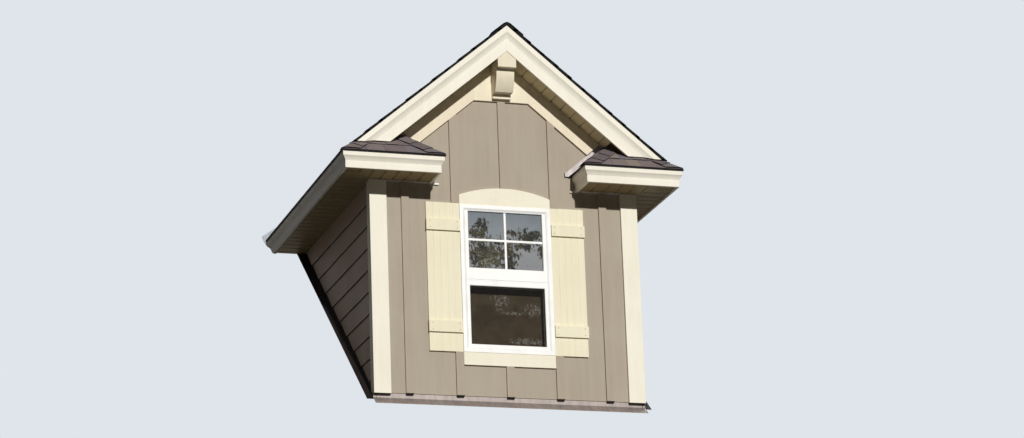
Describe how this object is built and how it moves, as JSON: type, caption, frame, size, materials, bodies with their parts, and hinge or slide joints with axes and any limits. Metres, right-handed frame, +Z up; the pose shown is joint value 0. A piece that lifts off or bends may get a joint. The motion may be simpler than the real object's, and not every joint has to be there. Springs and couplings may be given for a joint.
{
  "type": "dormer window",
  "caption": "Gable dormer with a double-hung window, shutters, boxed cornice returns with hip roofs, a scroll bracket and shingle roof, cut to sit on a sloped roof.",
  "frame": {"origin": "middle of the front sole plate, on its sloped face that rests on the main roof's deck", "axes": "+X to the right seen from the front, +Y back into the main roof, +Z up; the front faces -Y"},
  "size_m": [2.786, 4.0859, 3.1714],
  "materials": {
    "framing_lumber": "sawn softwood",
    "sheathing_board": "strand board",
    "shingle": "mineral granules on asphalt",
    "siding_paint": "satin paint, taupe",
    "trim_paint": "satin paint, cream",
    "shutter_paint": "satin paint, cream",
    "window_vinyl": "satin white",
    "glass": "clear float glass",
    "backing_board": "dark stained",
    "flashing": "painted grey-mauve",
    "dark_flashing": "painted dark brown",
    "bright_flashing": "painted light grey"
  },
  "bodies": {
    "root": {"front_sole_plate": "framing_lumber", "cheek_sole_plates": "framing_lumber", "front_studs": "framing_lumber", "window_header_and_sill": "framing_lumber", "short_studs": "framing_lumber", "front_top_plate": "framing_lumber", "cheek_top_plates": "framing_lumber", "cheek_studs": "framing_lumber", "ridge_board": "framing_lumber", "rafters": "framing_lumber", "valley_sleepers": "framing_lumber", "front_sheathing": "sheathing_board", "cheek_sheathing": "sheathing_board", "roof_deck_left": "sheathing_board", "roof_deck_right": "sheathing_board", "return_decks": "sheathing_board", "shingles_left": "shingle", "shingles_right": "shingle", "ridge_cap": "shingle", "return_shingles": "shingle", "front_panel": "siding_paint", "lap_siding": "siding_paint", "battens": "siding_paint", "rake_fascia_left": "trim_paint", "rake_fascia_right": "trim_paint", "eave_fascias": "trim_paint", "return_fascias": "trim_paint", "eave_soffits": "trim_paint", "return_soffits": "trim_paint", "gable_soffit_left": "trim_paint", "gable_soffit_right": "trim_paint", "frieze_left": "trim_paint", "frieze_right": "trim_paint", "gable_gusset": "trim_paint", "bracket": "trim_paint", "corner_boards": "trim_paint", "window_trim": "trim_paint", "window_frame": "window_vinyl", "upper_sash": "window_vinyl", "lower_sash": "window_vinyl", "window_glass": "glass", "window_backing": "backing_board", "shutter_boards": "shutter_paint", "shutter_battens": "shutter_paint", "apron_flashing": "flashing", "step_flashings": "dark_flashing", "valley_flashings": "bright_flashing", "return_flashings": "bright_flashing"}
  },
  "joints": []
}
